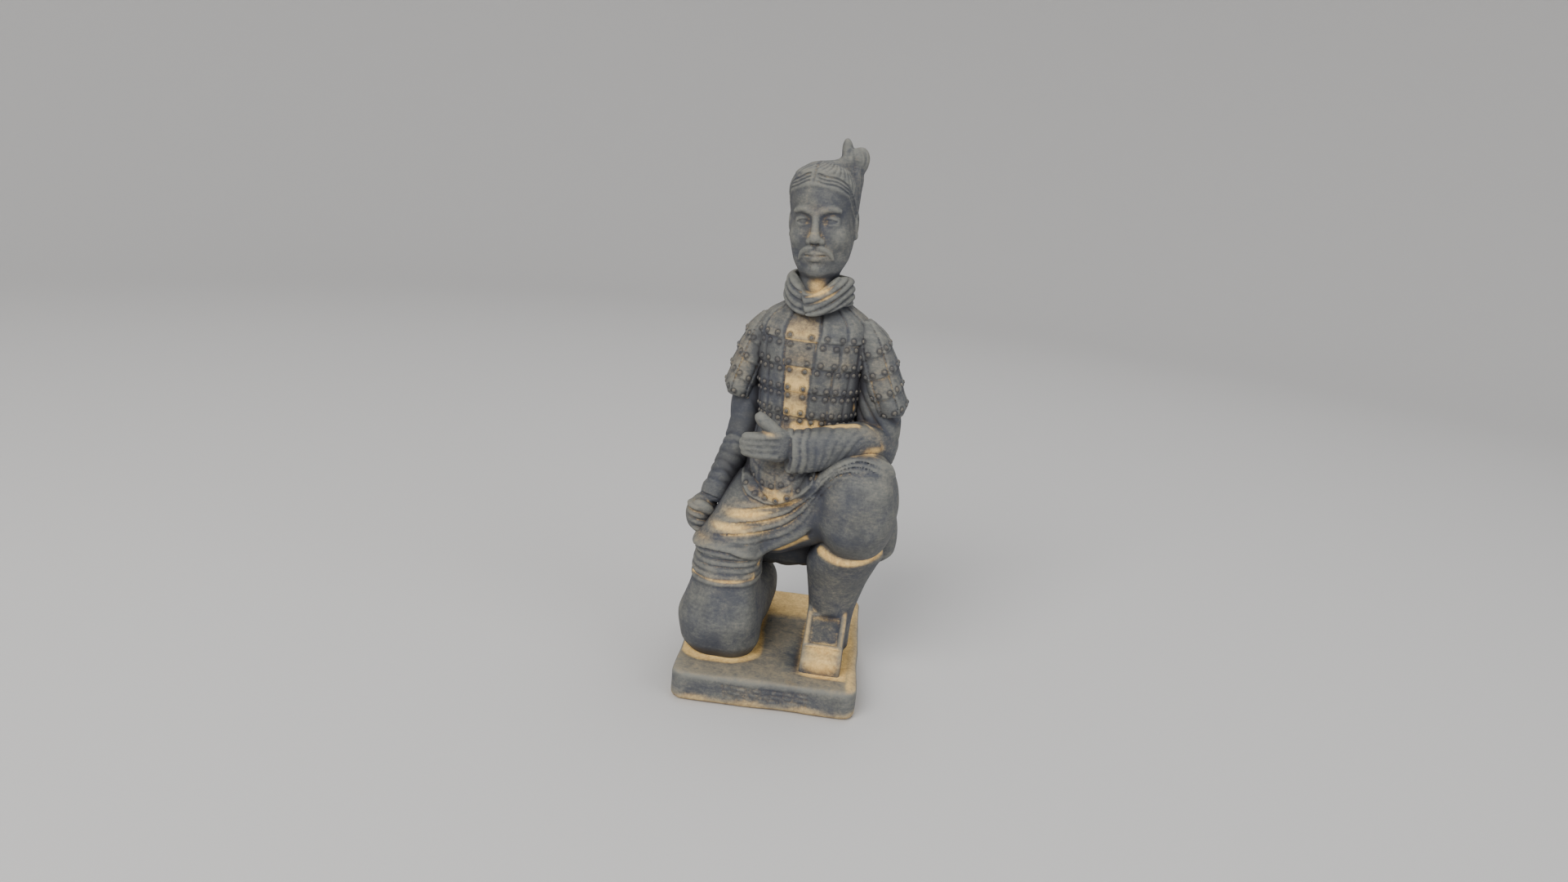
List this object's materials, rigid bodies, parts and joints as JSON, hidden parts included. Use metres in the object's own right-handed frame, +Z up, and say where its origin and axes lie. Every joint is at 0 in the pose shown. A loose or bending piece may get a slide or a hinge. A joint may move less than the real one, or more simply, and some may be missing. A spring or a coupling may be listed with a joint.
{
  "type": "terracotta warrior statue",
  "caption": "Small kneeling terracotta archer in plated armour and a gathered robe, right knee down and left knee raised, on a low rectangular plinth.",
  "frame": {"origin": "centre of the plinth's underside, on the surface that the figurine stands on", "axes": "+Z up, the figure faces -Y, +X is the figure's left"},
  "size_m": [0.0733, 0.076, 0.1798],
  "materials": {
    "figure_clay": "matte",
    "plinth_clay": "matte"
  },
  "bodies": {
    "root": {"warrior_figure": "figure_clay", "plinth": "plinth_clay"}
  },
  "joints": []
}
